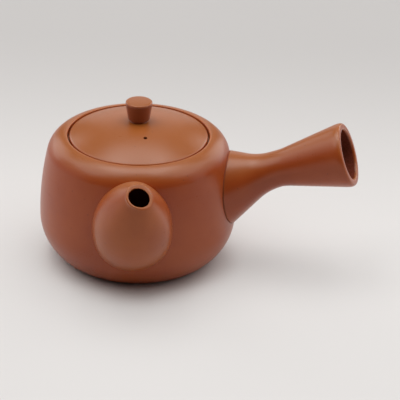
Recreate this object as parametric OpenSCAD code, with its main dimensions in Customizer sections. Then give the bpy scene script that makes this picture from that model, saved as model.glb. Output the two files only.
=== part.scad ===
// Side-handled clay teapot: thrown pot, lid with knob, spout, hollow handle and clay strainer.
// Millimetres. The origin is the centre of the foot, +Z is up and the handle points along +X.

/* [Pot] */
// Radius of the belly at its widest
belly_r = 50; // [44:0.5:56]
// Height of the widest line above the foot
belly_z = 22; // [18:0.5:25]
// Radius of the curve between foot and belly
heel_round = 26; // [25.5:0.5:34]
// Radius of the slow curve of the wall above the belly
wall_round = 150; // [110:1:220]
// Angle by which the wall leans in where the shoulder starts
wall_lean = 13.2; // [9:0.1:17]
// Radius of the shoulder
shoulder_round = 11.6; // [9:0.1:15]
// Slope of the land round the mouth
land_slope = 13; // [8:0.5:20]
// Width of the land between shoulder and mouth
land_w = 1.6; // [0.8:0.1:5]
// Thickness of the thrown wall
pot_wall = 3; // [2.2:0.1:4]
// Thickness of the floor
pot_floor = 3.6; // [2.6:0.1:6]

/* [Mouth] */
// Depth of the lid's ledge below the rim
seat_depth = 3.4; // [2.6:0.1:4.4]
// Width of the ledge that carries the lid
ledge_w = 4.2; // [3:0.1:6]
// Thickness of the ledge
ledge_t = 2.2; // [1.6:0.1:3]

/* [Lid] */
// Open seam between lid and mouth
lid_gap = 0.9; // [0.4:0.05:1.2]
// Clearance between the lid and its ledge
seat_gap = 0.3; // [0.2:0.05:0.5]
// Depth of the lid's edge below the rim
lid_drop = 0.5; // [0:0.1:1]
// Rise of the lid from its edge to its crown
lid_rise = 8; // [5:0.1:10]
// Thickness of the lid
lid_wall = 3; // [2.2:0.1:4]
// Thickness of the flange under the lid
flange_t = 2.4; // [1.8:0.1:3.5]
// Depth of the flange below the ledge
flange_depth = 5.5; // [4:0.5:9]
// Diameter of the vent hole
vent_d = 1.8; // [1:0.1:2.5]
// Distance of the vent hole from the lid's axis
vent_r = 17.3; // [11:0.1:22]
// Direction of the vent hole, measured from the handle
vent_turn = -66; // [-90:1:-40]

/* [Knob] */
// Height of the knob
knob_h = 10; // [7:0.1:13]
// Radius of the knob where it stands on the lid
knob_base_r = 5.4; // [4:0.1:7]
// Radius of the knob at its top
knob_top_r = 6.9; // [5:0.1:9]
// Rounding of the knob's top edge
knob_round = 1.1; // [0.5:0.1:2]

/* [Spout] */
// Depth of the spout's root centre inside the belly
spout_root_in = 20.4; // [18:0.1:26]
// Height of the spout's root centre under the widest line
spout_root_drop = 4.3; // [1:0.1:7]
// Direction of the spout's root, measured from the handle
spout_root_turn = -85; // [-95:0.5:-78]
// Reach of the mouth beyond the belly
spout_mouth_out = 23.3; // [19:0.1:30]
// Height of the mouth's centre above the rim
spout_mouth_rise = 1.6; // [0:0.1:6]
// Direction of the mouth, measured from the handle
spout_mouth_turn = -77.1; // [-85:0.1:-70]
// Radius of the spout at its hidden root
spout_root_r = 14.3; // [12:0.1:17]
// Fullness of the spout's lower half, as a radius
spout_bulb_r = 23.7; // [19:0.1:26]
// Fullness of the spout's upper half, as a radius
spout_neck_r = 18.8; // [13:0.1:21]
// Outer radius of the mouth
spout_mouth_r = 6.3; // [5:0.1:8]
// Diameter of the bore at the mouth
spout_bore_d = 9; // [7:0.1:10]
// Thickness of the spout's wall
spout_wall = 2.4; // [1.6:0.1:3.2]
// Direction that the cut mouth faces, measured from the handle
mouth_face_turn = -42; // [-80:1:-30]
// Angle of the cut mouth's face above level
mouth_face_tilt = 46; // [40:1:70]

/* [Strainer] */
// Diameter of the port through the wall behind the spout
port_d = 18; // [12:0.5:22]
// Radius of the strainer's dome
strainer_r = 14.5; // [13:0.1:16]
// Height of the dome inside the pot
strainer_rise = 10; // [8:0.1:12]
// Thickness of the dome
strainer_t = 1.8; // [1.2:0.1:2.4]
// Diameter of each strainer hole
hole_d = 1.4; // [0.8:0.1:1.8]
// Distance between neighbouring strainer holes
hole_pitch = 3.3; // [2.8:0.1:5]

/* [Handle] */
// Reach of the handle's waist beyond the belly
waist_out = 19.9; // [12:0.1:24]
// Distance of the handle's axis behind the pot's axis
waist_back = 3.5; // [0:0.1:5]
// Height of the waist above the widest line
waist_rise = 30.2; // [26:0.1:36]
// Diameter of the handle at its waist
waist_d = 18.4; // [16:0.1:23]
// Rise of the handle at its root, in degrees
root_tilt = 24.3; // [22:0.1:30]
// Rise of the grip, in degrees
grip_tilt = 19.3; // [12:0.1:21]
// Length of the straight waist that holds the bend
elbow_len = 3; // [2:0.5:10]
// Flare of the root, as a half angle
root_flare = 25.3; // [18:0.1:29]
// Radius of the curve from waist to root
root_round = 30; // [6:0.5:40]
// Length of the grip from the bend to its open end
grip_len = 35.8; // [26:0.1:50]
// Flare of the grip, as a half angle
grip_flare = 12.3; // [6:0.1:14]
// Radius of the curve from waist to grip
grip_round = 8; // [6:0.5:30]
// Thickness of the handle's wall
handle_wall = 4; // [3.4:0.1:5]
// Rounding of the lip outside the open end
lip_round = 1.8; // [0.6:0.1:2.6]
// Rounding of the lip inside the open end
lip_edge = 0.8; // [0.4:0.1:1]

/* [Luting] */
// Thickness of the slip that joins piece to piece
slip = 0.6; // [0.4:0.05:0.9]
// Set-back of the slip round the handle's root and under the knob
slip_recess = 0.7; // [0.3:0.1:1.2]

/* [Hidden] */
$fn = 96;

clay_colour = [0.66, 0.35, 0.22];
slip_colour = [0.42, 0.20, 0.12];

// Largest distance between a round outline and its chords
curve_tol = 0.03;
// Length by which a cutting shape passes the faces that it cuts
overcut = 1;

// Centres of the three curves of the pot's outline
heel_c = [belly_r - heel_round, belly_z];
wall_c = [belly_r - wall_round, belly_z];
shoulder_c = wall_c + (wall_round - shoulder_round) * [cos(wall_lean), sin(wall_lean)];
shoulder_end = 90 - land_slope;

// Mouth, ledge and throat
rim_r = shoulder_c.x + shoulder_round * cos(shoulder_end) - land_w * cos(land_slope);
rim_z = shoulder_c.y + shoulder_round * sin(shoulder_end) + land_w * sin(land_slope);
ledge_z = rim_z - seat_depth;
ledge_under = ledge_z - ledge_t;
throat_r = rim_r - ledge_w;

// Lid
lid_r = rim_r - lid_gap;
lid_edge_z = rim_z - lid_drop;
lid_top = lid_edge_z + lid_rise;
lid_round = (lid_r * lid_r + lid_rise * lid_rise) / (2 * lid_rise);
lid_c = [0, lid_top - lid_round];
flange_r = throat_r - lid_gap;
flange_in = flange_r - flange_t;
lid_seat = ledge_z + seat_gap;
flange_low = ledge_z - flange_depth;

// Point at a reach from the pot's axis, in a direction measured from the handle, at a height
function around(reach, turn, z) = [reach * cos(turn), reach * sin(turn), z];

// Spout, from the root's centre to the mouth's centre
spout_root = around(belly_r - spout_root_in, spout_root_turn, belly_z - spout_root_drop);
spout_tip = around(belly_r + spout_mouth_out, spout_mouth_turn, rim_z + spout_mouth_rise);
spout_way = spout_tip - spout_root;
spout_len = norm(spout_way);
spout_turn = atan2(spout_way.y, spout_way.x);
spout_lean = acos(spout_way.z / spout_len);
// Length of the spout past the mouth's centre, before the slanting cut
lip_len = spout_mouth_r;
mouth_cut_w = 8 * spout_mouth_r;
// Number of bands along the spout's curve
spout_steps = 14;

// Port, where the spout's axis passes the belly's radius
port_c = spout_root + spout_way * spout_root_in / (spout_root_in + spout_mouth_out);
port_turn = atan2(port_c.y, port_c.x);
dome_reach = belly_r - pot_wall - strainer_rise + strainer_r;
dome_c = around(dome_reach, port_turn, port_c.z);
// Angle between rings of holes, and the angle of the last ring from the dome's crown
ring_step = 2 * asin(hole_pitch / (2 * strainer_r));
ring_limit = 54;

// Handle
waist_r = waist_d / 2;
waist = [belly_r + waist_out, waist_back, belly_z + waist_rise];
corner = waist + elbow_len / 2 * [cos(root_tilt), 0, sin(root_tilt)];
grip_start = corner + elbow_len / 2 * [cos(grip_tilt), 0, sin(grip_tilt)];
mitre_tilt = (root_tilt + grip_tilt) / 2;
mitre_w = 4 * waist_d;
// The root starts well inside the belly, which then cuts it to shape
root_start_share = 0.6;
root_len = (waist.x - root_start_share * belly_r) / cos(root_tilt);

// Points of an arc, with as many chords as the tolerance asks for
function arc(c, r, from, to) =
    let (n = max(2, ceil(abs(to - from) / (2 * acos(1 - curve_tol / r)))))
    [for (i = [0:n]) c + r * [cos(from + (to - from) * i / n), sin(from + (to - from) * i / n)]];

// Cubic curve through the first and last of four values
function blend(v, t) =
    v[0] * pow(1 - t, 3) + 3 * v[1] * t * pow(1 - t, 2) + 3 * v[2] * t * t * (1 - t) + v[3] * pow(t, 3);

// Angle on a circle of radius r at a height h from its centre
function height_angle(h, r) = asin(h / r);

// Outline of the pot, grown outwards by d, from the foot to the rim
function pot_outline(d) = concat(
    arc(heel_c, heel_round + d, height_angle(-belly_z, heel_round + d), 0),
    arc(wall_c, wall_round + d, 0, wall_lean),
    arc(shoulder_c, shoulder_round + d, wall_lean, shoulder_end));

// Outline of the hollow, shrunk inwards by d, from the floor to the ledge
function hollow_outline(d) =
    let (in = pot_wall + d)
    concat(
        arc(heel_c, heel_round - in, height_angle(pot_floor + d - belly_z, heel_round - in), 0),
        arc(wall_c, wall_round - in, 0, wall_lean),
        arc(shoulder_c, shoulder_round - in, wall_lean,
            height_angle(ledge_under - d - shoulder_c.y, shoulder_round - in)));

// Flare from the waist: a round of radius r, then a straight cone, out to a distance
function flare_radius(d, angle, r) =
    d < r * sin(angle) ? r - sqrt(r * r - d * d)
                       : r * (1 - cos(angle)) + (d - r * sin(angle)) * tan(angle);

// Whole pot as a filled solid, grown outwards by d
module pot_blank(d = 0) {
    rotate_extrude()
        polygon(concat([[0, 0]], pot_outline(d), [[rim_r, rim_z + d], [0, rim_z + d]]));
}

// Hollow of the pot, shrunk inwards by d
module pot_hollow(d = 0) {
    rotate_extrude()
        polygon(concat([[0, pot_floor + d]], hollow_outline(d), [[0, ledge_under - d]]));
}

module place_spout() {
    translate(spout_root) rotate([0, spout_lean, spout_turn]) children();
}

// Solid round the spout's axis between four radii, with a straight lip past the mouth
module spout_form(radii, lip) {
    place_spout()
        rotate_extrude()
            polygon(concat(
                [[0, 0]],
                [for (i = [0:spout_steps]) [blend(radii, i / spout_steps), spout_len * i / spout_steps]],
                [[radii[3], spout_len + lip], [0, spout_len + lip]]));
}

// Spout with its bore and its slanting mouth, still whole at the root
module spout_tube() {
    outer = [spout_root_r, spout_bulb_r, spout_neck_r, spout_mouth_r];
    walls = [spout_wall, spout_wall, spout_wall, spout_mouth_r - spout_bore_d / 2];
    difference() {
        spout_form(outer, lip_len);
        spout_form(outer - walls, lip_len + overcut);
        translate(spout_tip)
            rotate([0, 90 - mouth_face_tilt, mouth_face_turn])
                translate([-mouth_cut_w / 2, -mouth_cut_w / 2, 0])
                    cube(mouth_cut_w);
    }
}

// Port through the wall
module port_cut() {
    translate([0, 0, port_c.z])
        rotate([0, 90, port_turn])
            translate([0, 0, dome_reach - strainer_r])
                cylinder(d = port_d, h = strainer_r + pot_wall);
}

// Pierced dome of the strainer, still whole at its edge
module strainer_shell() {
    difference() {
        translate(dome_c) sphere(r = strainer_r);
        translate(dome_c) sphere(r = strainer_r - strainer_t);
    }
}

// Bores of the strainer, in rings round the dome's crown
module strainer_bores() {
    translate(dome_c)
        rotate([0, -90, port_turn])
            for (ring = [0:floor(ring_limit / ring_step)]) {
                count = max(1, floor(360 * sin(ring * ring_step) / ring_step));
                for (i = [0:count - 1])
                    rotate([0, ring * ring_step, 360 * i / count])
                        translate([0, 0, strainer_r - strainer_t - overcut])
                            cylinder(d = hole_d, h = strainer_t + 2 * overcut);
            }
}

// Outline of the root's outer face or bore, from the bend back to a distance
function root_outline(r, far) = concat(
    [[r, elbow_len]],
    arc([r + root_round, 0], root_round, 180, 180 + root_flare),
    [[r + flare_radius(far, root_flare, root_round), -far]]);

// Outline of the grip from the bend to the lip; side is 1 for the outer face and -1 for the bore
function grip_outline(r, side) =
    let (edge = side > 0 ? lip_round : lip_edge,
         lip_z = grip_len - edge,
         lip_r = r + flare_radius(lip_z, grip_flare, grip_round) - side * edge / cos(grip_flare),
         from = side > 0 ? -grip_flare : 180 - grip_flare)
    concat(
        [[r, -elbow_len]],
        arc([r + grip_round, 0], grip_round, 180, 180 - grip_flare),
        arc([lip_r, lip_z], edge, from, 90));

// Points in the other order
function backwards(points) = [for (i = [len(points) - 1:-1:0]) points[i]];

// Root of the handle as a tube, with its outer face set back by recess
module root_tube(recess = 0) {
    translate(waist)
        rotate([0, 90 - root_tilt, 0])
            rotate_extrude()
                polygon(concat(
                    root_outline(waist_r - recess, root_len),
                    backwards(root_outline(waist_r - handle_wall, root_len))));
}

// Grip with its rounded lip
module grip_tube() {
    translate(grip_start)
        rotate([0, 90 - grip_tilt, 0])
            rotate_extrude()
                polygon(concat(
                    grip_outline(waist_r, 1),
                    backwards(grip_outline(waist_r - handle_wall, -1))));
}

// Half space on one side of the mitre between root and grip; side is 1 for the grip's side
module mitre_side(side) {
    translate(corner)
        rotate([0, 90 - mitre_tilt, 0])
            translate([-mitre_w / 2, -mitre_w / 2, side > 0 ? 0 : -mitre_w])
                cube(mitre_w);
}

module body_shell() {
    color(clay_colour)
        difference() {
            pot_blank();
            pot_hollow();
            translate([0, 0, ledge_under - overcut])
                cylinder(r = throat_r, h = ledge_t + 2 * overcut);
            translate([0, 0, ledge_z])
                cylinder(r = rim_r, h = seat_depth + overcut);
            port_cut();
        }
}

module spout() {
    color(clay_colour)
        difference() {
            spout_tube();
            pot_blank(slip);
        }
}

module spout_luting() {
    color(slip_colour)
        difference() {
            intersection() {
                spout_tube();
                pot_blank(slip);
            }
            pot_blank();
        }
}

module handle() {
    color(clay_colour)
        union() {
            difference() {
                root_tube();
                mitre_side(1);
                pot_blank(slip);
            }
            difference() {
                grip_tube();
                mitre_side(-1);
            }
        }
}

module handle_luting() {
    color(slip_colour)
        difference() {
            intersection() {
                root_tube(slip_recess);
                pot_blank(slip);
            }
            pot_blank();
        }
}

module strainer() {
    color(clay_colour)
        difference() {
            intersection() {
                strainer_shell();
                pot_hollow(slip);
            }
            strainer_bores();
        }
}

module strainer_luting() {
    color(slip_colour)
        difference() {
            intersection() {
                strainer_shell();
                pot_hollow();
            }
            pot_hollow(slip);
        }
}

// Domed top of the lid as a filled solid, down to its seat
module lid_blank() {
    rotate_extrude()
        polygon(concat(
            [[0, lid_seat]],
            [[lid_r, lid_seat]],
            arc(lid_c, lid_round, height_angle(lid_edge_z - lid_c.y, lid_round), 90)));
}

module lid() {
    under = lid_round - lid_wall;
    color(clay_colour)
        difference() {
            union() {
                lid_blank();
                translate([0, 0, flange_low]) cylinder(r = flange_r, h = lid_edge_z - flange_low);
            }
            rotate_extrude()
                polygon(concat(
                    [[0, flange_low - overcut], [flange_in, flange_low - overcut]],
                    arc(lid_c, under, acos(flange_in / under), 90)));
            rotate([0, 0, vent_turn])
                translate([vent_r, 0, lid_seat])
                    cylinder(d = vent_d, h = lid_top);
        }
}

module lid_knob() {
    low = lid_top + slip;
    color(clay_colour)
        rotate_extrude()
            polygon(concat(
                [[0, low], [knob_base_r, low]],
                arc([knob_top_r - knob_round, low + knob_h - knob_round], knob_round, 0, 90),
                [[0, low + knob_h]]));
}

module knob_luting() {
    color(slip_colour)
        difference() {
            translate([0, 0, lid_edge_z]) cylinder(r = knob_base_r - slip_recess, h = lid_rise + slip);
            lid_blank();
        }
}

body_shell();
spout();
spout_luting();
handle();
handle_luting();
strainer();
strainer_luting();
lid();
lid_knob();
knob_luting();
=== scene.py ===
"""Side-handled clay teapot: the look of every piece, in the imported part's own frame.

Sizes are millimetres and degrees, as in the part's source. Meshes and finishes are in metres.
"""
import logging
import math
from collections.abc import Callable, Sequence
from dataclasses import dataclass, field
from enum import Enum
from typing import ClassVar

import bpy
import numpy as np
from mathutils import Matrix, Vector


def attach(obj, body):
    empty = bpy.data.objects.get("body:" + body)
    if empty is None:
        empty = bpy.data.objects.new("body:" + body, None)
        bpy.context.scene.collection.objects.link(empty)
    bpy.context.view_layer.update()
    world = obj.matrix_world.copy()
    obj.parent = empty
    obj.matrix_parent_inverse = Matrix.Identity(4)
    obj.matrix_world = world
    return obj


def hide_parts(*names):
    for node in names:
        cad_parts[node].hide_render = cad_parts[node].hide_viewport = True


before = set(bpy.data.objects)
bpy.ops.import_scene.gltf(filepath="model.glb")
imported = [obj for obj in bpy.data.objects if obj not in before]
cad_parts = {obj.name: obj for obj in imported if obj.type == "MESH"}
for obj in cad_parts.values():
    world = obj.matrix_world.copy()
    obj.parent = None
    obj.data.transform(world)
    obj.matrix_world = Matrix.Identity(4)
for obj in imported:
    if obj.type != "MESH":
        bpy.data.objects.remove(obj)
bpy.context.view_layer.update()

LOG = logging.getLogger("teapot")
MM = 0.001
UP = Vector((0.0, 0.0, 1.0))
ACROSS = Vector((0.0, 1.0, 0.0))
HANDLE_WAY = Vector((1.0, 0.0, 0.0))
COARSE_STEPS, HALVINGS = 60, 40

Point = tuple[float, float]
Corner = tuple[float, float, float, float]
Colour = tuple[float, float, float, float]
Section = Callable[[float], list[Point]]
Piece = bpy.types.Object
Pieces = tuple[Piece, ...]
Finish = bpy.types.Material


class Body(Enum):
    """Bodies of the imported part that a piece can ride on."""

    POT = "pot"
    LID = "lid"


class Slot(Enum):
    """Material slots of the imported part."""

    CLAY = "clay"
    SLIP = "slip"


class Side(Enum):
    """Outer face or bore of a hollow piece."""

    OUTER = 1
    BORE = -1


def polar(centre: Point, radius: float, angle: float) -> Point:
    """Find the point at a radius and an angle, in degrees, round a centre."""
    turn = math.radians(angle)
    return centre[0] + radius * math.cos(turn), centre[1] + radius * math.sin(turn)


def around(reach: float, turn: float, height: float) -> Vector:
    """Find the point at a reach from the pot's axis, a turn in degrees and a height."""
    return Vector((*polar((0.0, 0.0), reach, turn), height))


def rising(turn: float, tilt: float) -> Vector:
    """Find the direction at a turn round the pot and a tilt above level, both in degrees."""
    level = math.cos(math.radians(tilt))
    return around(level, turn, math.sin(math.radians(tilt)))


def crossing(reading: Callable[[float], float], outside: float, inside: float) -> float:
    """Find where a reading first turns negative on the way from outside to inside.

    Args:
        reading: Function that is positive outside and negative inside.
        outside: Value to start from.
        inside: Value to end at.

    Returns:
        The value at the crossing, or inside where there is none.
    """
    step = (inside - outside) / COARSE_STEPS
    for i in range(COARSE_STEPS):
        near, far = outside + step * i, outside + step * (i + 1)
        if reading(far) < 0.0:
            for _ in range(HALVINGS):
                middle = (near + far) / 2.0
                if reading(middle) < 0.0:
                    far = middle
                else:
                    near = middle
            return (near + far) / 2.0
    return inside


@dataclass
class Outline:
    """Half section of a turned piece: corners, each with the reaches of its softening."""

    BOTH_SOFT, ONE_SOFT = 0.49, 0.98
    corners: list[Corner] = field(default_factory=list)

    def to(self, r: float, s: float, soft: float = 0.0, onward: float | None = None) -> "Outline":
        """Add a corner, softened by a reach on the way in and maybe another on the way out."""
        self.corners.append((r, s, soft, soft if onward is None else onward))
        return self

    def run(self, r: float, s: float, parts: int, soft: float = 0.0) -> "Outline":
        """Add a straight run in equal parts.

        Args:
            r: Radius at the end of the run.
            s: Height at the end of the run.
            parts: Number of parts.
            soft: Softening of the corner at the end.

        Returns:
            The outline.
        """
        r0, s0 = self.corners[-1][:2]
        for i in range(1, parts):
            self.to(r0 + (r - r0) * i / parts, s0 + (s - s0) * i / parts)
        return self.to(r, s, soft)

    def follow(self, radius: Callable[[float], float], start: float, end: float,
               parts: int) -> "Outline":
        """Add a run along a curve.

        Args:
            radius: Function from a height to the radius there.
            start: Height at the start of the run.
            end: Height at its end.
            parts: Number of chords.

        Returns:
            The outline.
        """
        for i in range(parts + 1):
            s = start + (end - start) * i / parts
            self.to(radius(s), s)
        return self

    def arc(self, centre: Point, radius: float, start: float, end: float, steps: int) -> "Outline":
        """Add a round.

        Args:
            centre: Centre of the round.
            radius: Its radius.
            start: First angle, in degrees.
            end: Last angle, in degrees.
            steps: Number of chords.

        Returns:
            The outline.
        """
        for i in range(steps + 1):
            self.to(*polar(centre, radius, start + (end - start) * i / steps))
        return self

    @classmethod
    def eased(cls, here: Vector, other: Corner, reach: float) -> Vector:
        """Find where a corner's softening ends towards another corner, which may be soft too."""
        way, share = Vector(other[:2]) - here, cls.BOTH_SOFT if other[2] > 0.0 else cls.ONE_SOFT
        return here + way.normalized() * min(reach, share * way.length)

    def points(self, steps: int = 5) -> list[Point]:
        """Draw the chain with its softened corners.

        Args:
            steps: Number of chords in each softened corner.

        Returns:
            Points as radius and height.
        """
        chain: list[Point] = []
        for i, (r, s, soft, onward) in enumerate(self.corners):
            if soft == 0.0:
                chain.append((r, s))
                continue
            here = Vector((r, s))
            start = self.eased(here, self.corners[i - 1], soft)
            end = self.eased(here, self.corners[i + 1], onward)
            for k in range(steps + 1):
                t = k / steps
                p = start * (1.0 - t) ** 2 + here * 2.0 * t * (1.0 - t) + end * t * t
                chain.append((p.x, p.y))
        return chain

    def loop(self) -> list[Point]:
        """Close the chain at its first corner, and draw it."""
        return self.to(*self.corners[0][:2]).points()


@dataclass(frozen=True)
class Axis:
    """Line that a piece is turned about, and the side that its turns are counted from."""

    origin: Vector
    along: Vector
    side: Vector

    def point(self, r: float, s: float, turn: float) -> Vector:
        """Find the point at a radius, a height along the axis and a turn in radians."""
        spoke = self.side * math.cos(turn) + self.along.cross(self.side) * math.sin(turn)
        return self.origin + self.along * s + spoke * r

    def reading(self, point: Vector) -> tuple[float, float, float]:
        """Read where a point lies about the axis.

        Args:
            point: The point, in millimetres.

        Returns:
            Its radius, its height along the axis and its turn in radians.
        """
        way = point - self.origin
        x, y = way.dot(self.side), way.dot(self.along.cross(self.side))
        return math.hypot(x, y), way.dot(self.along), math.atan2(y, x)


POT_AXIS = Axis(Vector((0.0, 0.0, 0.0)), UP, HANDLE_WAY)


class Wheel:
    """The potter's bench: what every turned piece has in common."""

    WELD = 2e-6
    TINY = 1e-12
    SMOOTH_UNDER = math.radians(40.0)
    WEAR_FROM, WEAR_TO = 250.0, 1500.0

    @staticmethod
    def clear() -> None:
        """Leave edit mode and deselect everything."""
        if bpy.context.mode != "OBJECT":
            bpy.ops.object.mode_set(mode="OBJECT")
        bpy.ops.object.select_all(action="DESELECT")

    @classmethod
    def pick(cls, *pieces: Piece) -> None:
        """Select some pieces alone.

        Args:
            pieces: The pieces, of which the first one becomes active.
        """
        cls.clear()
        for piece in pieces:
            piece.select_set(True)
        bpy.context.view_layer.objects.active = pieces[0]

    @classmethod
    def draw(cls, name: str, points: Sequence[Vector]) -> Piece:
        """Draw a chain of edges from one point, and stay in edit mode.

        Args:
            name: Name of the new piece.
            points: The chain, in millimetres.

        Returns:
            The new piece.
        """
        cls.clear()
        bpy.ops.mesh.primitive_plane_add(size=MM, location=(0.0, 0.0, 0.0))
        piece = bpy.context.object
        piece.name = piece.data.name = name
        bpy.ops.object.mode_set(mode="EDIT")
        bpy.ops.mesh.select_all(action="SELECT")
        bpy.ops.mesh.merge(type="CENTER")
        bpy.ops.transform.translate(value=points[0] * MM)
        for here, there in zip(points, points[1:]):
            bpy.ops.mesh.extrude_vertices_move(
                TRANSFORM_OT_translate={"value": (there - here) * MM})
        return piece

    @classmethod
    def weld(cls) -> None:
        """Merge doubled points and turn all faces outwards, in edit mode."""
        bpy.ops.mesh.select_all(action="SELECT")
        bpy.ops.mesh.remove_doubles(threshold=cls.WELD)
        bpy.ops.mesh.normals_make_consistent(inside=False)

    @classmethod
    def throw(cls, name: str, axis: Axis, section: Section, steps: int) -> Piece:
        """Turn a section about an axis, and fit each turn to its own section.

        Args:
            name: Name of the new piece.
            axis: Axis to turn about.
            section: Function from a turn in radians to the points of the section there.
            steps: Number of steps in a full turn.

        Returns:
            The turned piece, in object mode.
        """
        base = section(0.0)
        piece = cls.draw(name, [axis.point(r, s, 0.0) for r, s in base])
        bpy.ops.mesh.select_all(action="SELECT")
        bpy.ops.mesh.spin(steps=steps, angle=math.tau, center=axis.origin * MM, axis=axis.along)
        cls.weld()
        bpy.ops.object.mode_set(mode="OBJECT")
        chain = np.array(base)
        lengths = np.concatenate([[0.0], np.cumsum(np.hypot(*np.diff(chain, axis=0).T))])
        turns = [section(math.tau * i / steps) for i in range(steps)]
        marks = np.zeros(len(piece.data.vertices), np.float32)
        for vertex in piece.data.vertices:
            r, s, turn = axis.reading(vertex.co / MM)
            place = int(np.argmin(np.hypot(chain[:, 0] - r, chain[:, 1] - s)))
            step = round(turn / math.tau * steps) % steps
            vertex.co = axis.point(*turns[step][place], math.tau * step / steps) * MM
            marks[vertex.index] = lengths[place]
        cls.mark(piece, "along", marks)
        return piece

    @staticmethod
    def mark(piece: Piece, name: str, values: np.ndarray) -> None:
        """Write a number on each point of a piece, for its finish to read."""
        marks = piece.data.attributes
        layer = marks.get(name) or marks.new(name, "FLOAT", "POINT")
        layer.data.foreach_set("value", values.astype(np.float32))

    @classmethod
    def bore(cls, piece: Piece, start: Vector, end: Vector, radius: float, sides: int) -> None:
        """Drill a round hole through a piece.

        Args:
            piece: The piece.
            start: Where the drill starts, in millimetres.
            end: Where it ends.
            radius: Radius of the drill.
            sides: Number of its sides.
        """
        way = end - start
        cls.clear()
        bpy.ops.mesh.primitive_cylinder_add(
            vertices=sides, radius=radius * MM, depth=way.length * MM,
            location=(start + end) * 0.5 * MM, rotation=way.to_track_quat("Z", "Y").to_euler())
        drill = bpy.context.object
        cut = piece.modifiers.new("bore", "BOOLEAN")
        cut.operation, cut.solver, cut.object = "DIFFERENCE", "EXACT", drill
        cls.pick(piece)
        bpy.ops.object.modifier_apply(modifier=cut.name)
        bpy.data.objects.remove(drill)

    @classmethod
    def true_up(cls, piece: Piece) -> None:
        """Turn faces outwards, smooth them, and mark worn edges and what looks up.

        Args:
            piece: The piece, whose marks are "up" and "edge".
        """
        cls.pick(piece)
        bpy.ops.object.mode_set(mode="EDIT")
        cls.weld()
        bpy.ops.object.mode_set(mode="OBJECT")
        bpy.ops.object.shade_smooth_by_angle(angle=cls.SMOOTH_UNDER)
        mesh = piece.data
        spots = np.array([tuple(vertex.co) for vertex in mesh.vertices], np.float32)
        out = np.array([tuple(normal.vector) for normal in mesh.vertex_normals], np.float32)
        a, b = np.array([tuple(edge.vertices) for edge in mesh.edges]).T
        way = spots[b] - spots[a]
        span = np.maximum((way * way).sum(1), cls.TINY)
        bend = np.zeros(len(spots), np.float32)
        np.maximum.at(bend, a, -2.0 * (out[a] * way).sum(1) / span)
        np.maximum.at(bend, b, 2.0 * (out[b] * way).sum(1) / span)
        worn = (bend - cls.WEAR_FROM) / (cls.WEAR_TO - cls.WEAR_FROM)
        # up is read by the clay finish for its painted top light and its belt of painted shade
        cls.mark(piece, "up", np.clip(out[:, 2], 0.0, 1.0))
        cls.mark(piece, "edge", np.clip(worn, 0.0, 1.0))


class Assembly:
    """What the sub-assemblies have in common: how their pieces are finished and dressed."""

    BODY: ClassVar[Body]
    PLACES: ClassVar[tuple[tuple[Slot, str], ...]]

    def rawness(self, point: Vector) -> float:
        """Read how far the first piece's clay is raw and painted with shade at a point, from 0 to
        1.
        """
        raise NotImplementedError

    def finish(self, *pieces: Piece) -> Pieces:
        """True up the pieces, and mark where the first one is raw and painted darker as shade.

        Args:
            pieces: The pieces, as thrown.

        Returns:
            The same pieces.
        """
        for piece in pieces:
            Wheel.true_up(piece)
        points = pieces[0].data.vertices
        # Hollows and bores are marked raw, and their clay is painted darker there as shade
        rawness = [self.rawness(vertex.co / MM) for vertex in points]
        Wheel.mark(pieces[0], "raw", np.array(rawness))
        return pieces

    def dress(self, pieces: Pieces, finishes: Sequence[Finish]) -> None:
        """Dress the pieces and tell the frame what they are.

        Args:
            pieces: The pieces, as built.
            finishes: A finish for each of them.
        """
        for piece, finish, (slot, node) in zip(pieces, finishes, self.PLACES, strict=True):
            piece.data.materials.clear()
            piece.data.materials.append(finish)
            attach(piece, self.BODY.value)
            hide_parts(node)
            LOG.info("%s: %d points, for %s", piece.name, len(piece.data.vertices), node)


class Wire:
    """A shader value that Python's operators work on."""

    def __init__(self, desk: "NodeDesk", socket: bpy.types.NodeSocket) -> None:
        """Hold a node's output."""
        self.desk, self.socket = desk, socket

    def _math(self, operation: str, first: "Wire | float", second: "Wire | float") -> "Wire":
        """Add one Math node, and return its value."""
        return self.desk.add("ShaderNodeMath", {"operation": operation}, {0: first, 1: second})

    def __add__(self, other: "Wire | float") -> "Wire":
        """Add a value."""
        return self._math("ADD", self, other)

    __radd__ = __add__

    def __sub__(self, other: "Wire | float") -> "Wire":
        """Take a value away."""
        return self._math("SUBTRACT", self, other)

    def __rsub__(self, other: float) -> "Wire":
        """Take this away from a number."""
        return self._math("SUBTRACT", other, self)

    def __mul__(self, other: "Wire | float") -> "Wire":
        """Multiply by a value."""
        return self._math("MULTIPLY", self, other)

    __rmul__ = __mul__

    def either(self, other: "Wire | float") -> "Wire":
        """Take the larger of this and another value."""
        return self._math("MAXIMUM", self, other)

    def between(self, low: float, high: float) -> "Wire":
        """Map the values from low to high onto 0 to 1, smoothly and with no overshoot."""
        return self.desk.add("ShaderNodeMapRange", {"interpolation_type": "SMOOTHSTEP"},
                             {"Value": self, "From Min": low, "From Max": high})


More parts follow.
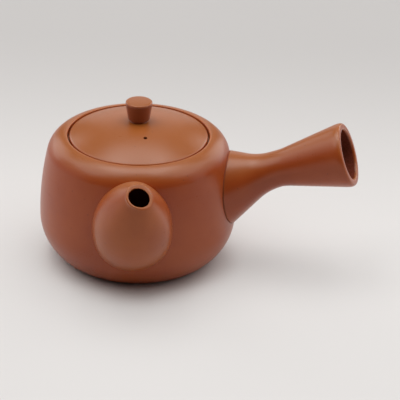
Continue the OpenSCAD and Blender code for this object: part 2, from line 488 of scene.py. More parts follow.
class NodeDesk:
    """A material and its node tree, which starts empty."""

    def __init__(self, name: str) -> None:
        """Start a material under a name."""
        self.material = bpy.data.materials.new(name)
        self.material.use_nodes = True
        self.tree = self.material.node_tree
        self.tree.nodes.clear()

    def add(self, kind: str, settings: dict[str, object] | None = None,
            sockets: dict[str | int, object] | None = None, out: str | int = 0) -> Wire:
        """Add a node.

        Args:
            kind: Type of the node.
            settings: Properties of the node, which are set first.
            sockets: Values or links of its inputs, by name or number.
            out: Output to return, by name or number.

        Returns:
            The chosen output.
        """
        node = self.tree.nodes.new(kind)
        for name, value in (settings or {}).items():
            setattr(node, name, value)
        for key, value in (sockets or {}).items():
            if isinstance(value, Wire):
                self.tree.links.new(value.socket, node.inputs[key])
            else:
                node.inputs[key].default_value = value
        return Wire(self, node.outputs[out])

    def place(self) -> Wire:
        """Read where a point lies on its object."""
        return self.add("ShaderNodeTexCoord", out="Object")

    def mark(self, name: str) -> Wire:
        """Read a number that a piece carries on its points."""
        return self.add("ShaderNodeAttribute", {"attribute_name": name}, out="Fac")

    def measure(self, operation: str, first: Wire, second: tuple[float, float, float]) -> Wire:
        """Work out one number from two vectors."""
        return self.add("ShaderNodeVectorMath", {"operation": operation},
                        {0: first, 1: second}, "Value")

    def mix(self, share: Wire, first: "Wire | Colour", second: "Wire | Colour") -> Wire:
        """Mix two colours by a share from 0 to 1."""
        return self.add("ShaderNodeMix", {"data_type": "RGBA"}, {0: share, 6: first, 7: second}, 2)

    def noise(self, place: Wire, cells: float, detail: float, rough: float = 0.5) -> Wire:
        """Add a cloud of noise over a place, in cells to the metre."""
        return self.add("ShaderNodeTexNoise", {}, {
            "Vector": place, "Scale": cells, "Detail": detail, "Roughness": rough})

    def bump(self, height: Wire, strength: float, distance: float) -> Wire:
        """Turn a height from 0 to 1 into a relief, whose distance is in metres."""
        return self.add("ShaderNodeBump", {}, {
            "Strength": strength, "Distance": distance, "Height": height})

    def surface(self, sockets: dict[str | int, object]) -> Wire:
        """Add the plain shader with these values or links."""
        return self.add("ShaderNodeBsdfPrincipled", {}, sockets)

    def blend(self, share: Wire, first: Wire, second: Wire) -> Wire:
        """Blend two shaders by a share from 0 to 1."""
        return self.add("ShaderNodeMixShader", {}, {0: share, 1: first, 2: second})

    def close(self, shader: Wire) -> Finish:
        """Link a shader to the output.

        Args:
            shader: The shader.

        Returns:
            The finished material.
        """
        output = self.tree.nodes.new("ShaderNodeOutputMaterial")
        self.tree.links.new(shader.socket, output.inputs["Surface"])
        return self.material


@dataclass(frozen=True)
class FiredClay:
    """Burnished red clay: blotches, grain, turning marks, specks, rubbed edges and raw insides in
    painted shade.

    The faces that look up are painted a little browner than the sides as painted top light,
    with a redder belt of painted shade between them. Cells are counted to the metre.
    """

    name: str = "fired_clay"
    deep: Colour = (0.335, 0.056, 0.0085, 1.0)
    pale: Colour = (0.390, 0.077, 0.0130, 1.0)
    gloss: float = 0.50
    flashed: Colour = (0.300, 0.092, 0.0165, 1.0)
    belt: Colour = (0.285, 0.044, 0.0085, 1.0)
    speck: Colour = (0.110, 0.026, 0.009, 1.0)
    rubbed: Colour = (0.470, 0.150, 0.045, 1.0)
    # Colour of the raw insides, darkened as painted shade
    raw: Colour = (0.190, 0.042, 0.028, 1.0)
    roughness: float = 0.31
    raw_roughness: float = 0.9
    refraction: float = 1.45
    belt_share: float = 0.45
    flash_share: float = 0.85
    grain_share: float = 0.22
    speck_share: float = 0.6
    rub_share: float = 0.5
    blotch_cells: float = 34.0
    grain_cells: float = 1700.0
    speck_cells: float = 310.0
    speck_fields: float = 140.0
    rings_per_mm: float = 0.8
    relief_depth: float = 0.00004

    def make(self) -> Finish:
        """Build the material.

        Returns:
            The finished material.
        """
        desk = NodeDesk(self.name)
        place = desk.place()
        blotch = desk.noise(place, self.blotch_cells, 3.0, 0.55)
        grain = desk.noise(place, self.grain_cells, 3.0, 0.6)
        rings = desk.add("ShaderNodeTexNoise", {"noise_dimensions": "1D"}, {
            "W": desk.mark("along") * self.rings_per_mm, "Scale": 1.0, "Detail": 2.0})
        edge, raw, up = desk.mark("edge"), desk.mark("raw"), desk.mark("up")
        cells = desk.add("ShaderNodeTexVoronoi", {},
                         {"Vector": place, "Scale": self.speck_cells}, "Distance")
        rare = desk.noise(place, self.speck_fields, 0.0).between(0.60, 0.66)
        specks = (1.0 - cells.between(0.07, 0.13)) * rare
        colour = desk.mix(blotch.between(0.3, 0.7), self.deep, self.pale)
        # Painted shade: a redder belt on faces that tilt partly up
        colour = desk.mix(up.between(0.0, 0.40) * self.belt_share, colour, self.belt)
        # Painted top light: faces that look up are tinted browner
        colour = desk.mix(up.between(0.35, 0.95) * self.flash_share, colour, self.flashed)
        colour = desk.mix(grain.between(0.35, 0.75) * self.grain_share, colour, self.deep)
        colour = desk.mix(specks * self.speck_share, colour, self.speck)
        colour = desk.mix(edge * blotch.between(0.2, 0.6) * self.rub_share, colour, self.rubbed)
        rough = self.roughness + (grain - 0.5) * 0.14 + (blotch - 0.5) * 0.10
        rough = rough + (rings - 0.5) * 0.06 - edge * 0.05
        relief = desk.bump(grain * 0.5 + rings * 0.9, 0.5, self.relief_depth)
        burnished = desk.surface({
            "Base Color": colour, "Roughness": rough, "Normal": relief,
            "IOR": self.refraction, "Specular IOR Level": self.gloss})
        # Raw clay in hollows and bores: rougher, and painted darker as shade where little light
        # reaches
        dry = desk.surface({
            "Base Color": desk.mix(grain.between(0.3, 0.7), self.raw, self.speck),
            "Roughness": self.raw_roughness, "Normal": relief, "Specular IOR Level": 0.0})
        return desk.close(desk.blend(raw, burnished, dry))


POT_CLAY = FiredClay()
SPOUT_CLAY = FiredClay("spout_clay", (0.335, 0.066, 0.0085, 1.0), (0.390, 0.091, 0.0130, 1.0), 0.42)
# Darker copy of the clay for the knob, as painted shade on it
KNOB_CLAY = FiredClay("knob_clay", (0.245, 0.050, 0.0160, 1.0), (0.285, 0.066, 0.0200, 1.0), 0.46)


@dataclass(frozen=True)
class FiredSlip:
    """Fired slip in a joint, left dry or smoothed over."""

    name: str
    deep: Colour
    pale: Colour
    dryness: float
    lump_cells: float = 420.0
    grain_cells: float = 2400.0
    relief_depth: float = 0.0001

    def make(self) -> Finish:
        """Build the material.

        Returns:
            The finished material.
        """
        desk = NodeDesk(self.name)
        place = desk.place()
        lumps = desk.noise(place, self.lump_cells, 3.0, 0.6)
        grain = desk.noise(place, self.grain_cells, 2.0)
        return desk.close(desk.surface({
            "Base Color": desk.mix(lumps.between(0.3, 0.7), self.deep, self.pale),
            "Roughness": self.dryness + (grain - 0.5) * 0.2,
            "Normal": desk.bump(lumps * 0.7 + grain * 0.3, 0.6, self.relief_depth)}))


SCORED_SLIP = FiredSlip(
    "scored_slip", (0.200, 0.038, 0.009, 1.0), (0.275, 0.056, 0.014, 1.0), 0.72)
SMOOTHED_SLIP = FiredSlip(
    "smoothed_slip", (0.335, 0.056, 0.0085, 1.0), (0.390, 0.077, 0.0130, 1.0), 0.38)


@dataclass(frozen=True)
class StudioPaper:
    """Pale paper under the pot, darker at the far end, with a flat share that softens the shadow.

    Far from the pot the paper is all flat, so that no lamp's edge shows on it.
    """

    near: Colour = (0.714, 0.692, 0.676, 1.0)
    far: Colour = (0.522, 0.503, 0.490, 1.0)
    bounce: Colour = (0.620, 0.590, 0.570, 1.0)
    away: tuple[float, float, float] = (-0.186, 0.982, 0.0)
    fade_from: float = -0.02
    fade_to: float = 0.30
    flat_share: float = 0.50
    shade_centre: tuple[float, float, float] = (0.0017, -0.0088, 0.0)
    shade_from: float = 0.036
    shade_to: float = 0.057
    flat_from: float = 0.5
    flat_to: float = 1.0
    roughness: float = 0.85
    gloss: float = 0.2
    fibre_cells: float = 60.0

    def make(self) -> Finish:
        """Build the material.

        Returns:
            The finished material.
        """
        desk = NodeDesk("studio_paper")
        place = desk.place()
        depth = desk.measure("DOT_PRODUCT", place, self.away)
        reach = desk.measure("DISTANCE", place, self.shade_centre)
        colour = desk.mix(depth.between(self.fade_from, self.fade_to), self.near, self.far)
        seen = desk.add("ShaderNodeLightPath", out="Is Camera Ray")
        for ray in ("Is Glossy Ray", "Is Transmission Ray"):
            seen = seen.either(desk.add("ShaderNodeLightPath", out=ray))
        lit = desk.surface({
            "Base Color": desk.mix(seen, self.bounce, colour),
            "Roughness": self.roughness + (desk.noise(place, self.fibre_cells, 4.0) - 0.5) * 0.1,
            "Specular IOR Level": self.gloss})
        flat = desk.add("ShaderNodeEmission", {}, {"Color": colour})
        share = reach.between(self.shade_from, self.shade_to) * self.flat_share
        share = share + reach.between(self.flat_from, self.flat_to) * (1.0 - self.flat_share)
        return desk.close(desk.blend(seen * share, lit, flat))


@dataclass
class Pot(Assembly):
    """Thrown pot: flat foot, round belly, sloping shoulder and a mouth with a ledge for the lid.

    The leads are the degrees left out where one curve of the outline runs into the next.
    """

    BODY = Body.POT
    PLACES = ((Slot.CLAY, "body_shell"),)
    RAW_FROM, RAW_UNDER = 0.7, 0.9
    WALL_LEAD, ROUND_LEAD = 0.6, 3.0
    belly_r: float = 49.98
    belly_z: float = 22.0
    heel_round: float = 26.0
    wall_round: float = 150.0
    wall_lean: float = 13.2
    shoulder_round: float = 11.6
    land_slope: float = 13.0
    land_w: float = 1.6
    wall: float = 3.0
    floor: float = 3.6
    seat_depth: float = 3.4
    ledge_w: float = 4.2
    ledge_t: float = 2.2
    port_d: float = 18.0
    port_turn: float = -79.6
    port_z: float = 40.65
    port_in: float = 12.0
    port_out: float = 2.5
    port_sides: int = 48
    rim_soft: float = 0.9
    foot_soft: float = 1.6
    foot_lead: float = 2.5
    seat_soft: float = 0.4
    ledge_soft: float = 0.6
    steps: int = 192

    def __post_init__(self) -> None:
        """Work out the centres of the outline's curves, and the mouth."""
        self.heel_c = (self.belly_r - self.heel_round, self.belly_z)
        self.wall_c = (self.belly_r - self.wall_round, self.belly_z)
        hold = self.wall_round - self.shoulder_round
        self.shoulder_c = polar(self.wall_c, hold, self.wall_lean)
        self.shoulder_end = 90.0 - self.land_slope
        land = polar(self.shoulder_c, self.shoulder_round, self.shoulder_end)
        self.rim_r, self.rim_z = polar(land, -self.land_w, -self.land_slope)
        self.ledge_z = self.rim_z - self.seat_depth
        self.raw_top = self.ledge_z - self.RAW_UNDER * self.ledge_t
        self.throat_r = self.rim_r - self.ledge_w

    def outer_radius(self, z: float, grown: float = 0.0) -> float:
        """Read the pot's outer radius at a height.

        Args:
            z: Height above the foot.
            grown: How far the outline is grown outwards.

        Returns:
            The radius.
        """
        lean = math.sin(math.radians(self.wall_lean))
        if z < self.belly_z:
            centre, radius = self.heel_c, self.heel_round + grown
        elif z < self.wall_c[1] + (self.wall_round + grown) * lean:
            centre, radius = self.wall_c, self.wall_round + grown
        else:
            centre, radius = self.shoulder_c, self.shoulder_round + grown
        return centre[0] + math.sqrt(max(radius * radius - (z - centre[1]) ** 2, 0.0))

    def clearance(self, point: Vector, grown: float = 0.0) -> float:
        """Read how far a point stands outside the pot's side, grown outwards."""
        return math.hypot(point.x, point.y) - self.outer_radius(point.z, grown)

    def rawness(self, point: Vector) -> float:
        """Read 1 in the hollow under the ledge, and else 0."""
        deep = self.clearance(point) < -self.RAW_FROM * self.wall
        return float(deep and self.RAW_FROM * self.floor < point.z < self.raw_top)

    def section(self) -> list[Point]:
        """Draw the wall's section, from the middle of the foot round to the middle of the floor.

        Returns:
            Points as radius and height.
        """
        foot_r = self.heel_c[0] + math.sqrt(self.heel_round ** 2 - self.belly_z ** 2)
        heel_from = math.degrees(math.asin((self.foot_soft - self.belly_z) / self.heel_round))
        under = self.ledge_z - self.ledge_t
        inner_shoulder = self.shoulder_round - self.wall
        inner_heel = self.heel_round - self.wall
        top = math.degrees(math.asin((under - self.shoulder_c[1]) / inner_shoulder))
        low = math.degrees(math.asin((self.floor - self.belly_z) / inner_heel))
        draft = Outline().to(0.0, 0.0).run(foot_r - self.foot_lead, 0.0, 6)
        draft.to(foot_r, 0.0, self.foot_soft)
        draft.arc(self.heel_c, self.heel_round, heel_from, 0.0, 26)
        draft.arc(self.wall_c, self.wall_round, self.WALL_LEAD, self.wall_lean, 22)
        start = self.wall_lean + self.ROUND_LEAD
        draft.arc(self.shoulder_c, self.shoulder_round, start, self.shoulder_end, 24)
        draft.to(self.rim_r, self.rim_z, self.rim_soft).to(self.rim_r, self.ledge_z, self.seat_soft)
        draft.run(self.throat_r, self.ledge_z, 3, self.ledge_soft)
        draft.to(self.throat_r, under, self.ledge_soft)
        draft.arc(self.shoulder_c, inner_shoulder, top, self.wall_lean, 18)
        start = self.wall_lean - self.WALL_LEAD
        draft.arc(self.wall_c, self.wall_round - self.wall, start, 0.0, 20)
        draft.arc(self.heel_c, inner_heel, -self.ROUND_LEAD, low, 18)
        return draft.run(0.0, self.floor, 6).points()

    def build(self) -> Pieces:
        """Throw the pot and cut the port behind the spout.

        Returns:
            The pot alone.
        """
        piece = Wheel.throw("pot_body", POT_AXIS, lambda turn: self.section(), self.steps)
        Wheel.bore(piece, around(self.belly_r - self.port_in, self.port_turn, self.port_z),
                   around(self.belly_r + self.port_out, self.port_turn, self.port_z),
                   self.port_d / 2.0, self.port_sides)
        return self.finish(piece)


@dataclass
class Lid(Assembly):
    """Domed lid with a flange, a vent hole, a tapered knob and the slip under the knob."""

    BODY = Body.LID
    PLACES = ((Slot.CLAY, "lid"), (Slot.CLAY, "lid_knob"), (Slot.SLIP, "knob_luting"))
    RAW_NEAR, RAW_UNDER = 0.2, 0.05
    EDGE_LEAD = 1.0
    CROWN_PARTS = 8
    pot: Pot
    gap: float = 0.9
    seat_gap: float = 0.3
    drop: float = 0.5
    rise: float = 8.0
    wall: float = 3.0
    flange_t: float = 2.4
    flange_depth: float = 5.5
    vent_d: float = 1.8
    vent_r: float = 17.3
    vent_turn: float = -66.0
    vent_rim: float = 0.3
    vent_flare: float = 0.1
    vent_lead: float = 2.0
    vent_sides: int = 24
    edge_soft: float = 0.8
    seat_soft: float = 0.4
    root_soft: float = 0.3
    flange_soft: float = 0.7
    knob_h: float = 10.0
    knob_base_r: float = 5.4
    knob_top_r: float = 6.9
    knob_soft: float = 1.3
    knob_crown: float = 0.3
    knob_foot_soft: float = 0.8
    slip: float = 0.6
    slip_recess: float = 0.7
    slip_hollow: float = 0.25
    slip_soft: float = 0.2
    slip_sink: float = 0.02
    steps: int = 192
    knob_steps: int = 96

    def __post_init__(self) -> None:
        """Work out the dome from the pot's mouth."""
        self.edge_r = self.pot.rim_r - self.gap
        self.edge_z = self.pot.rim_z - self.drop
        self.top = self.edge_z + self.rise
        self.dome_r = (self.edge_r ** 2 + self.rise ** 2) / (2.0 * self.rise)
        self.dome_c = (0.0, self.top - self.dome_r)

    def dome_z(self, r: float) -> float:
        """Read the height of the dome's top face at a radius."""
        return self.dome_c[1] + math.sqrt(self.dome_r ** 2 - r * r)

    def rawness(self, point: Vector) -> float:
        """Read 1 in the vent under its rim, and else 0."""
        off = (point - around(self.vent_r, self.vent_turn, point.z)).length
        return float(off < self.vent_d / 2.0 + self.RAW_NEAR
                     and point.z < self.dome_z(math.hypot(point.x, point.y)) - self.RAW_UNDER)

    def section(self) -> list[Point]:
        """Draw the lid's section, from the crown over the edge and the flange to the underside.

        Returns:
            Points as radius and height.
        """
        edge_turn = math.degrees(math.asin((self.edge_z - self.dome_c[1]) / self.dome_r))
        seat = self.pot.ledge_z + self.seat_gap
        flange_r = self.pot.throat_r - self.gap
        flange_in = flange_r - self.flange_t
        low = self.pot.ledge_z - self.flange_depth
        under = self.dome_r - self.wall
        under_turn = math.degrees(math.acos(flange_in / under))
        draft = Outline().arc(self.dome_c, self.dome_r, 90.0, edge_turn + self.EDGE_LEAD, 40)
        draft.to(self.edge_r, self.edge_z, self.edge_soft).to(self.edge_r, seat, self.seat_soft)
        draft.to(flange_r, seat, self.root_soft)
        draft.to(flange_r, low, self.flange_soft).to(flange_in, low, self.flange_soft)
        return draft.arc(self.dome_c, under, under_turn, 90.0, 24).points()

    def knob_section(self) -> list[Point]:
        """Draw the knob's section, from its crown to the middle of its foot.

        Returns:
            Points as radius and height.
        """
        low, high = self.top + self.slip, self.top + self.slip + self.knob_h
        draft = Outline().to(0.0, high)
        for i in range(1, self.CROWN_PARTS - 1):
            share = i / self.CROWN_PARTS
            draft.to(self.knob_top_r * share, high - self.knob_crown * share * share)
        draft.to(self.knob_top_r, high - self.knob_crown, self.knob_soft)
        draft.run(self.knob_base_r, low, 3, self.knob_foot_soft)
        return draft.run(0.0, low, 3).points(7)

    def slip_section(self) -> list[Point]:
        """Draw the slip between knob and lid, hollowed a little at its edge.

        Returns:
            Points as radius and height.
        """
        low, r = self.top + self.slip, self.knob_base_r - self.slip_recess
        foot = self.dome_z(r)
        draft = Outline().to(0.0, low).run(r, low, 3)
        draft.to(r - self.slip_hollow, (low + foot) / 2.0, self.slip_soft)
        draft.to(r, foot - self.slip_sink).run(0.0, self.top - self.slip_sink, 3)
        return draft.points(6)

    def build(self) -> Pieces:
        """Throw the lid with its vent, the knob and the slip between them.

        Returns:
            The lid, the knob and the slip.
        """
        lid = Wheel.throw("lid_dome", POT_AXIS, lambda turn: self.section(), self.steps)
        above = around(self.vent_r, self.vent_turn, self.top + self.vent_lead)
        rim_z, vent = self.dome_z(self.vent_r) - self.vent_rim, self.vent_d / 2.0
        for low, radius in ((rim_z, vent + self.vent_flare), (self.edge_z, vent)):
            start = around(self.vent_r, self.vent_turn, low)
            Wheel.bore(lid, start, above, radius, self.vent_sides)
        knob = Wheel.throw(
            "lid_button", POT_AXIS, lambda turn: self.knob_section(), self.knob_steps)
        slip = Wheel.throw(
            "lid_button_slip", POT_AXIS, lambda turn: self.slip_section(), self.knob_steps)
        return self.finish(lid, knob, slip)


class Luted(Assembly):
    """A sub-assembly whose root is cut to the pot, with slip between the two."""

    LAYERS: ClassVar[tuple[float, ...]]
    slip: float
    slip_recess: float

    def root_point(self, turn: float, side: Side, grown: float) -> Point:
        """Find the radius and height where a face meets the pot's outline, grown outwards."""
        raise NotImplementedError

    def slip_section(self, turn: float) -> list[Point]:
        """Draw the slip between root and pot at a turn, set back from the root's faces.

        Args:
            turn: Turn in radians.

        Returns:
            Points as radius and height, in a closed loop.
        """
        draft = Outline()
        for side in Side:
            for share in self.LAYERS[::side.value]:
                r, s = self.root_point(turn, side, self.slip * share)
                draft.to(r - side.value * self.slip_recess, s)
        return draft.loop()


@dataclass
class Spout(Luted):
    """Short fat spout, swelling from the belly and cut off at a slant, with the slip at its root.

    The pressed values say how far the hand drew its side out, at eighths of a turn from its left
    over its underside.
    """

    BODY = Body.POT
    PLACES = ((Slot.CLAY, "spout"), (Slot.SLIP, "spout_luting"))
    LAYERS = (-0.3, 0.0, 0.5, 1.0)
    MOUTH_FROM = 0.6
    RAW_NEAR, RAW_UNDER = 0.1, 1.5
    pot: Pot
    root: Vector = field(default_factory=lambda: around(29.6, -85.0, 17.7))
    tip_reach: float = 73.3
    tip_turn: float = -77.1
    tip_rise: float = 1.6
    radii: tuple[float, float, float, float] = (10.5, 26.3, 18.4, 5.75)
    walls: tuple[float, float, float, float] = (2.4, 2.4, 2.4, 1.25)
    face_turn: float = -42.0
    face_tilt: float = 46.0
    pressed: tuple[float, ...] = (0.3, 1.2, 1.1, 1.5, -0.1, -0.75, 0.0, 0.3)
    crest: float = 1.2
    lip_soft: float = 1.0
    lip_edge: float = 0.5
    slip: float = 0.6
    slip_recess: float = 0.04
    outer_parts: int = 48
    bore_parts: int = 32
    steps: int = 128

    def __post_init__(self) -> None:
        """Work out the spout's axis and the plane of its mouth."""
        self.tip = around(self.tip_reach, self.tip_turn, self.pot.rim_z + self.tip_rise)
        way = self.tip - self.root
        self.length = way.length
        along = way.normalized()
        self.axis = Axis(self.root, along, along.cross(UP).normalized())
        self.face = rising(self.face_turn, self.face_tilt)

    def radius(self, s: float, side: Side, turn: float) -> float:
        """Read the outer or inner radius where a turn meets a distance along the axis.

        Args:
            s: Distance along the axis.
            side: Which side of the wall.
            turn: Turn about the axis in radians, from the spout's left over its underside.

        Returns:
            The radius, with what the potter's hand pressed in or drew out.
        """
        t = min(max(s / self.length, 0.0), 1.0)
        sides = self.radii
        if side is Side.BORE:
            sides = tuple(r - w for r, w in zip(self.radii, self.walls))
        plain = (sides[0] * (1.0 - t) ** 3 + 3.0 * sides[1] * t * (1.0 - t) ** 2
                 + 3.0 * sides[2] * t * t * (1.0 - t) + sides[3] * t ** 3)
        place = turn / math.tau * len(self.pressed)
        first = math.floor(place)
        share = 0.5 - 0.5 * math.cos(math.pi * (place - first))
        here, there = (self.pressed[(first + i) % len(self.pressed)] for i in (0, 1))
        plain += (here + (there - here) * share) * (1.0 - t ** 3)
        if side is Side.OUTER:
            plain += self.crest * max(-math.sin(turn), 0.0) ** 2 * t ** 3
        return plain

    def rawness(self, point: Vector) -> float:
        """Read 1 in the bore under the lip, and else 0."""
        r, s, turn = self.axis.reading(point)
        return float(r < self.radius(s, Side.BORE, turn) + self.RAW_NEAR
                     and s < self.length - self.RAW_UNDER)

    def face_point(self, s: float, side: Side, turn: float) -> Vector:
        """Find a point on the spout's outer or inner face."""
        return self.axis.point(self.radius(s, side, turn), s, turn)

    def root_point(self, turn: float, side: Side, grown: float) -> Point:
        """Find the radius and height where a face meets the pot's outline, grown outwards."""
        s = crossing(lambda s: self.pot.clearance(self.face_point(s, side, turn), grown),
                     self.length, 0.0)
        return self.radius(s, side, turn), s

    def mouth_at(self, turn: float, side: Side) -> float:
        """Find where the spout's face meets the slanting cut of its mouth at a turn."""
        return crossing(lambda s: (self.face_point(s, side, turn) - self.tip).dot(self.face),
                        self.length + 2.0 * self.radii[3], self.length * self.MOUTH_FROM)

    def section(self, turn: float) -> list[Point]:
        """Draw the spout's wall at a turn, from its root over the lip and down the bore.

        Args:
            turn: Turn in radians.

        Returns:
            Points as radius and height, in a closed loop.
        """
        outer, bore = (lambda s, side=side: self.radius(s, side, turn) for side in Side)
        (_, low), (_, deep) = (self.root_point(turn, side, self.slip) for side in Side)
        high, inner = (self.mouth_at(turn, side) for side in Side)
        draft = Outline().follow(outer, low, high - self.lip_soft, self.outer_parts)
        draft.to(outer(high), high, self.lip_soft, self.lip_edge)
        draft.to(bore(inner), inner, self.lip_edge)
        return draft.follow(bore, inner - self.lip_soft, deep, self.bore_parts).loop()

    def build(self) -> Pieces:
        """Throw the spout and the slip at its root, each cut to the pot.

        Returns:
            The spout and the slip.
        """
        spout = Wheel.throw("spout_shell", self.axis, self.section, self.steps)
        slip = Wheel.throw("spout_slip", self.axis, self.slip_section, self.steps)
        return self.finish(spout, slip)


@dataclass
class Handle(Luted):
    """Hollow side handle: a flared root, a waist with a slight bend and a flared open grip."""

    BODY = Body.POT
    PLACES = ((Slot.CLAY, "handle"), (Slot.SLIP, "handle_luting"))
    LAYERS = (-0.6, 0.0, 0.5, 1.0)
    RAW_FROM, RAW_FADE = 0.6, 0.3
    RIM_NEAR, RIM_SPAN = 0.01, 0.3
    pot: Pot
    waist_reach: float = 69.9
    waist_back: float = 3.5
    waist_z: float = 52.2
    waist_r: float = 9.18
    root_tilt: float = 24.3
    grip_tilt: float = 19.3
    bend: float = 3.0
    bend_cuts: int = 6
    root_flare: float = 25.3
    root_round: float = 30.0
    root_far: float = 40.0
    grip_len: float = 35.35
    grip_flare: float = 12.2
    grip_round: float = 30.0
    grip_lead: float = 2.6
    wall: float = 4.0
    lip_soft: float = 4.6
    lip_face: float = 2.6
    end_lean: float = 0.25
    lip_edge: float = 0.7
    root_soft: float = 0.55
    slip: float = 0.35
    slip_recess: float = 0.22
    outer_parts: int = 32
    root_bore_parts: int = 24
    grip_bore_parts: int = 28
    steps: int = 112

    def __post_init__(self) -> None:
        """Work out the two axes of the handle."""
        root_way, grip_way = rising(0.0, self.root_tilt), rising(0.0, self.grip_tilt)
        waist = Vector((self.waist_reach, self.waist_back, self.waist_z))
        middle = waist + (root_way + grip_way) * (self.bend / 2.0)
        self.root_axis = Axis(waist, root_way, ACROSS)
        self.grip_axis = Axis(middle, grip_way, ACROSS)

    @staticmethod
    def flare(d: float, angle: float, radius: float) -> float:
        """Read how far a flare has opened: a round first, then a straight cone.

        Args:
            d: Distance from where it starts.
            angle: Angle of the cone, in degrees.
            radius: Radius of the round.

        Returns:
            What it adds to the radius.
        """
        turn = math.radians(angle)
        if d < radius * math.sin(turn):
            return radius - math.sqrt(radius * radius - d * d)
        return radius * (1.0 - math.cos(turn)) + (d - radius * math.sin(turn)) * math.tan(turn)

    def radius(self, side: Side) -> float:
        """Read the outer or inner radius at the waist."""
        return self.waist_r - (self.wall if side is Side.BORE else 0.0)

    def root_radius(self, d: float, side: Side) -> float:
        """Read the root's radius at a distance back from the waist."""
        return self.radius(side) + self.flare(d, self.root_flare, self.root_round)

    def grip_radius(self, d: float, side: Side) -> float:
        """Read the grip's radius at a distance from the bend, where the flare has begun already."""
        return self.radius(side) + self.flare(d + self.grip_lead, self.grip_flare, self.grip_round)

    def root_point(self, turn: float, side: Side, grown: float) -> Point:
        """Find the radius and height where a face meets the pot's outline, grown outwards."""
        d = crossing(
            lambda d: self.pot.clearance(
                self.root_axis.point(self.root_radius(d, side), -d, turn), grown),
            0.0, self.root_far)
        return self.root_radius(d, side), -d

    def root_section(self, turn: float) -> list[Point]:
        """Draw the root's wall at a turn, from the waist to the pot and back along the bore.

        Args:
            turn: Turn in radians.

        Returns:
            Points as radius and height.
        """
        outer, bore = (lambda s, side=side: self.root_radius(-s, side) for side in Side)
        (r, far), (_, deep) = (self.root_point(turn, side, self.slip) for side in Side)
        draft = Outline().follow(outer, 0.0, far + self.root_soft, self.outer_parts)
        draft.to(r, far, self.root_soft)
        return draft.follow(bore, deep, 0.0, self.root_bore_parts).points()

    def end_at(self, turn: float) -> float:
        """Find how far out the open end lies at a turn: further at the bottom than at the top."""
        return self.grip_len - self.end_lean * math.sin(turn)

    def grip_section(self, turn: float) -> list[Point]:
        """Draw the grip's wall at a turn, from the bend over the leaning lip and down the bore.

        Args:
            turn: Turn in radians.

        Returns:
            Points as radius and height.
        """
        outer, bore = (lambda s, side=side: self.grip_radius(s, side) for side in Side)
        end = self.end_at(turn)
        draft = Outline().follow(outer, 0.0, end - self.lip_soft, self.outer_parts)
        draft.to(outer(end), end, self.lip_soft, self.lip_face)
        draft.to(bore(end), end, self.lip_edge)
        deep = end - 2.0 * self.lip_edge
        return draft.follow(bore, deep, 0.0, self.grip_bore_parts).points(8)

    def rawness(self, point: Vector) -> float:
        """Read how far a point lies inside the hollow handle.

        Args:
            point: The point, in millimetres.

        Returns:
            From 0 outside and at the lip to 1 inside.
        """
        r, d, turn = self.grip_axis.reading(point)
        if d < 0.0:
            r, back, turn = self.root_axis.reading(point)
            outer = self.root_radius(max(-back, 0.0), Side.OUTER)
        else:
            outer = self.grip_radius(d, Side.OUTER)
        inside = min(max((outer - r) / self.wall - self.RAW_FROM, 0.0) / self.RAW_FADE, 1.0)
        return inside * min(max((self.end_at(turn) - d) / self.lip_edge - 1.0, 0.0), 1.0)

    def build(self) -> Pieces:
        """Throw root and grip, bridge them through the bend, and lay the slip at the root.

        Returns:
            The handle and the slip.
        """
        root = Wheel.throw("handle_shell", self.root_axis, self.root_section, self.steps)
        grip = Wheel.throw("handle_grip", self.grip_axis, self.grip_section, self.steps)
        Wheel.pick(root, grip)
        bpy.ops.object.join()
        for side in Side:
            self.bridge(root, side)
        marks = [vertex.co.dot(self.grip_axis.along) / MM for vertex in root.data.vertices]
        Wheel.mark(root, "along", np.array(marks))
        slip = Wheel.throw("handle_slip", self.root_axis, self.slip_section, self.steps)
        return self.finish(root, slip)

    def bridge(self, piece: Piece, side: Side) -> None:
        """Join the open rings of root and grip at the bend.

        Args:
            piece: Root and grip as one mesh.
            side: Outer faces or bore.
        """
        Wheel.pick(piece)
        bpy.ops.object.mode_set(mode="EDIT")
        bpy.ops.mesh.select_all(action="DESELECT")
        bpy.ops.mesh.select_mode(type="EDGE")
        bpy.ops.object.mode_set(mode="OBJECT")
        ring = self.radius(side)
        rims: set[int] = set()
        for vertex in piece.data.vertices:
            for axis in (self.root_axis, self.grip_axis):
                r, s, _ = axis.reading(vertex.co / MM)
                if abs(s) < self.RIM_NEAR and abs(r - ring) < self.RIM_SPAN:
                    rims.add(vertex.index)
        for edge in piece.data.edges:
            edge.select = all(end in rims for end in edge.vertices)
        bpy.ops.object.mode_set(mode="EDIT")
        bpy.ops.mesh.bridge_edge_loops(
            number_cuts=self.bend_cuts, interpolation="SURFACE", smoothness=1.0)
        bpy.ops.mesh.select_mode(type="VERT")
        bpy.ops.object.mode_set(mode="OBJECT")


@dataclass(frozen=True)
class Fittings:
    """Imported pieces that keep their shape: the strainer and the slip round it."""

    nodes: tuple[str, ...] = ("strainer", "strainer_luting")

    def dress(self, finishes: Sequence[Finish]) -> None:
        """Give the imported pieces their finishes.

        Args:
            finishes: A finish for each of them.
        """
        for name, finish in zip(self.nodes, finishes, strict=True):
            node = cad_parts[name]
            node.data.materials.clear()
            node.data.materials.append(finish)
            LOG.info("%s: packed shape, new finish", name)


@dataclass(frozen=True)
class SoftBox:
    """A square studio lamp that stands round the pot and faces it."""

    AIM_Z = 30.0
    name: str
    turn: float
    tilt: float
    distance: float
    width: float
    watts: float

    def hang(self) -> None:
        """Add the lamp."""
        Wheel.clear()
        way = rising(self.turn, self.tilt)
        bpy.ops.object.light_add(
            type="AREA", location=(UP * self.AIM_Z + way * self.distance) * MM,
            rotation=(-way).to_track_quat("-Z", "Y").to_euler())
        lamp = bpy.context.object
        lamp.name = self.name
        lamp.data.size, lamp.data.energy = self.width * MM, self.watts


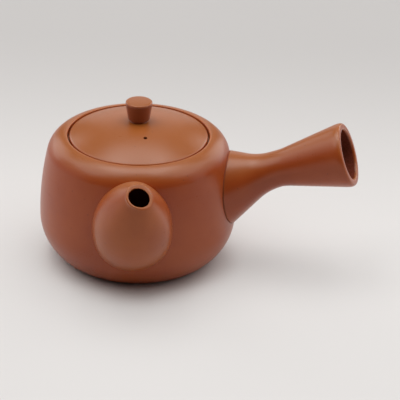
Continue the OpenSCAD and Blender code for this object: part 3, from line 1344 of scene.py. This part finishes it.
@dataclass
class Studio:
    """Paper, light and camera."""

    eye: Vector = field(default_factory=lambda: Vector((180.28, -780.88, 444.54)))
    aim: Vector = field(default_factory=lambda: Vector((31.60, 3.85, 29.70)))
    roll: float = 1.653
    lens: float = 158.5
    sensor: float = 36.0
    nearest: float = 10.0
    farthest: float = 50000.0
    paper_w: float = 40000.0
    room: Colour = (0.80, 0.78, 0.765, 1.0)
    room_light: float = 0.02
    lamps: tuple[SoftBox, ...] = (
        SoftBox("high_left", -167.0, 60.0, 1500.0, 1200.0, 11.2),
        SoftBox("overhead", 103.0, 79.0, 1500.0, 1000.0, 9.9),
        SoftBox("mid_back", 103.0, 45.0, 1600.0, 900.0, 1.0),
        SoftBox("high_right", 13.0, 60.0, 1500.0, 1200.0, 9.4),
        SoftBox("low_left", -167.0, 20.0, 1800.0, 1300.0, 3.2),
        SoftBox("low_back_left", 148.0, 20.0, 1800.0, 1100.0, 7.2),
        SoftBox("low_back", 103.0, 17.0, 1800.0, 900.0, 2.0),
        SoftBox("low_back_right", 58.0, 20.0, 1800.0, 1100.0, 8.4),
        SoftBox("low_right", 13.0, 20.0, 1800.0, 1300.0, 5.2),
    )

    def build(self) -> None:
        """Lay the paper, hang the lamps and set the camera."""
        self.lay_paper()
        self.light()
        self.set_camera()

    def lay_paper(self) -> None:
        """Lay the paper under the pot."""
        Wheel.clear()
        bpy.ops.mesh.primitive_plane_add(size=self.paper_w * MM, location=(0.0, 0.0, 0.0))
        paper = bpy.context.object
        paper.name = paper.data.name = "studio_paper"
        paper.data.materials.append(StudioPaper().make())

    def light(self) -> None:
        """Hang the lamps and light the room."""
        for lamp in self.lamps:
            lamp.hang()
        world = bpy.data.worlds.new("room")
        world.use_nodes = True
        bpy.context.scene.world = world
        air = world.node_tree.nodes["Background"]
        air.inputs["Color"].default_value = self.room
        air.inputs["Strength"].default_value = self.room_light

    def set_camera(self) -> None:
        """Stand the camera where the pot is seen from, with no blur."""
        Wheel.clear()
        look = (self.aim - self.eye).to_track_quat("-Z", "Y").to_matrix()
        turn = Matrix.Rotation(math.radians(self.roll), 3, "Z")
        bpy.ops.object.camera_add(location=self.eye * MM, rotation=(look @ turn).to_euler())
        camera = bpy.context.object
        camera.name = "camera"
        camera.data.sensor_width, camera.data.lens = self.sensor, self.lens
        camera.data.clip_start, camera.data.clip_end = self.nearest * MM, self.farthest * MM
        bpy.context.scene.camera = camera
        bpy.context.scene.view_settings.view_transform = "Standard"


def main() -> None:
    """Build, dress and light the teapot."""
    logging.basicConfig(level=logging.INFO, format="%(message)s")
    clay, slip, smooth = POT_CLAY.make(), SCORED_SLIP.make(), SMOOTHED_SLIP.make()
    pot = Pot()
    pot.dress(pot.build(), (clay,))
    lid = Lid(pot)
    lid.dress(lid.build(), (clay, KNOB_CLAY.make(), smooth))
    spout = Spout(pot)
    spout.dress(spout.build(), (SPOUT_CLAY.make(), smooth))
    handle = Handle(pot)
    handle.dress(handle.build(), (clay, slip))
    Fittings().dress((clay, slip))
    Studio().build()


if __name__ == "__main__":
    main()
